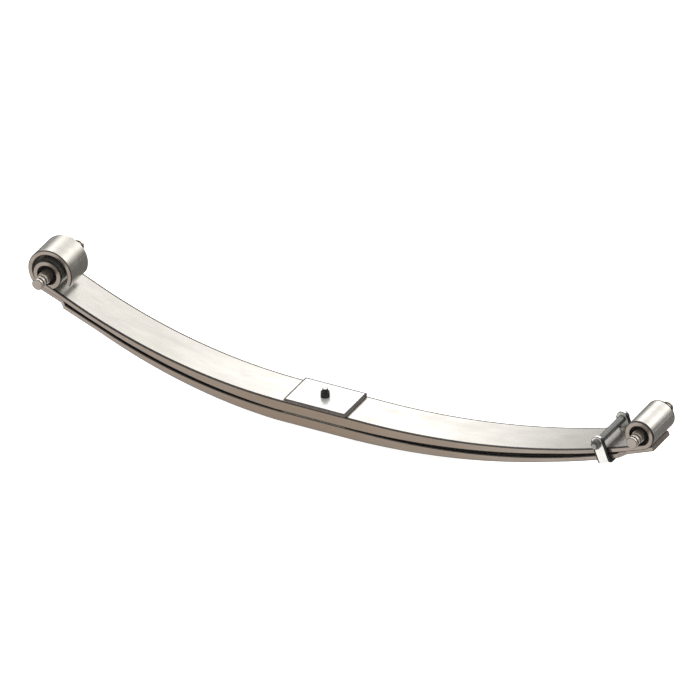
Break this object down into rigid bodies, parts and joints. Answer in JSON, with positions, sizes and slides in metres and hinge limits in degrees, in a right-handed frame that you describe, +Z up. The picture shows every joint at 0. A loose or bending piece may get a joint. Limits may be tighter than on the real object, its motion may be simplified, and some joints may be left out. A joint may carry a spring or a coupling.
{
  "type": "leaf spring",
  "caption": "Curved taper-leaf truck spring with rolled eyes, a second leaf wrapped round the front eye, a rebound clip and grooved eye pins.",
  "frame": {"origin": "on the centre bolt's axis at the axle seat face under the second leaf", "axes": "+X along the spring towards the rear eye, +Y across it, +Z up from the seat towards the eyes"},
  "size_m": [1.4743, 0.19, 0.2673],
  "materials": {
    "leaf_steel": "satin",
    "plate_steel": "satin",
    "liner_zinc": "matt",
    "black_bolt": "black oxide",
    "grey_bolt": "grey phosphate",
    "clip_steel": "satin",
    "tube_steel": "satin",
    "pad_plastic": "matt",
    "shell_steel": "dark phosphate",
    "bush_rubber": "matt",
    "pin_steel": "turned"
  },
  "bodies": {
    "spring_pack": {"main_leaf": "leaf_steel", "wrapper_leaf": "leaf_steel", "centre_liner": "liner_zinc", "top_plate": "plate_steel", "centre_bolt": "black_bolt", "centre_bolt_nut": "black_bolt", "rebound_clip": "clip_steel", "clip_rivet": "leaf_steel", "clip_bolt": "grey_bolt", "clip_nut": "grey_bolt", "front_tip_pad": "pad_plastic", "front_bush_shell": "shell_steel", "front_bush_rubber": "bush_rubber", "rear_bush_shell": "shell_steel", "rear_bush_rubber": "bush_rubber"},
    "front_pin": {"front_eye_pin": "pin_steel"},
    "rear_pin": {"rear_eye_pin": "pin_steel"},
    "clip_spacer": {"clip_spacer_tube": "tube_steel"}
  },
  "joints": [
    {"name": "front_bush_twist", "type": "hinge", "parent": "spring_pack", "child": "front_pin", "pos_m": [-0.63, 0, 0.2046], "axis": [0, 1, 0], "range_deg": [-20, 20], "stiffness_Nm_per_rad": 180},
    {"name": "rear_bush_twist", "type": "hinge", "parent": "spring_pack", "child": "rear_pin", "pos_m": [0.7595, 0, 0.192], "axis": [0, 1, 0], "range_deg": [-20, 20], "stiffness_Nm_per_rad": 180},
    {"name": "clip_spacer_roll", "type": "hinge", "parent": "spring_pack", "child": "clip_spacer", "pos_m": [0.66794, 0, 0.15467], "axis": [0, 1, 0], "continuous": true}
  ]
}
